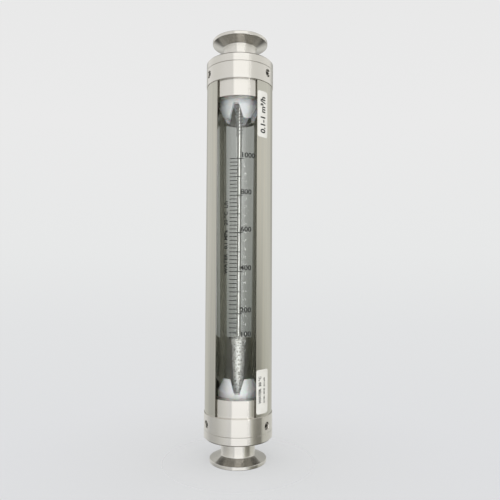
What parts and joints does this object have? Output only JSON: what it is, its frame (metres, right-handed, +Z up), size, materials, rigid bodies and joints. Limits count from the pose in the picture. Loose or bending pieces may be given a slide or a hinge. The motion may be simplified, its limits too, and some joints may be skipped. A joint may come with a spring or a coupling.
{
  "type": "rotameter",
  "caption": "Upright glass-tube flow meter: a steel float on a guide rod in a tapered tube, held in a slotted stainless housing with sanitary clamp ferrules at both ends.",
  "frame": {"origin": "centre of the lower ferrule's sealing face", "axes": "+Z up along the flow, the reading window faces -Y, +X to its right"},
  "size_m": [0.061, 0.061, 0.38],
  "materials": {
    "turned_stainless": "fine turned",
    "housing_stainless": "satin ground",
    "tube_glass": "polished",
    "gasket_silicone": "smooth",
    "stop_ptfe": "machined PTFE",
    "fastener_steel": "plain",
    "rod_steel": "ground and polished",
    "spring_steel": "drawn wire",
    "float_steel": "fine turned"
  },
  "bodies": {
    "instrument": {"lower_connection": "turned_stainless", "lower_end_ring": "turned_stainless", "upper_connection": "turned_stainless", "upper_end_ring": "turned_stainless", "housing_shell": "housing_stainless", "glass_tube": "tube_glass", "lower_gasket": "gasket_silicone", "lower_float_stop": "stop_ptfe", "lower_rod_washer": "fastener_steel", "lower_rod_nut": "fastener_steel", "lower_set_screw_1": "fastener_steel", "lower_set_screw_2": "fastener_steel", "lower_set_screw_3": "fastener_steel", "upper_gasket": "gasket_silicone", "upper_float_stop": "stop_ptfe", "upper_rod_washer": "fastener_steel", "upper_rod_nut": "fastener_steel", "upper_set_screw_1": "fastener_steel", "upper_set_screw_2": "fastener_steel", "upper_set_screw_3": "fastener_steel", "guide_rod": "rod_steel", "spring_washer": "fastener_steel", "buffer_spring": "spring_steel"},
    "float": {"metering_float": "float_steel"}
  },
  "joints": [
    {"name": "float_slide", "type": "slide", "parent": "instrument", "child": "float", "axis": [0, 0, 1], "range_m": [0, 0.1812]}
  ]
}
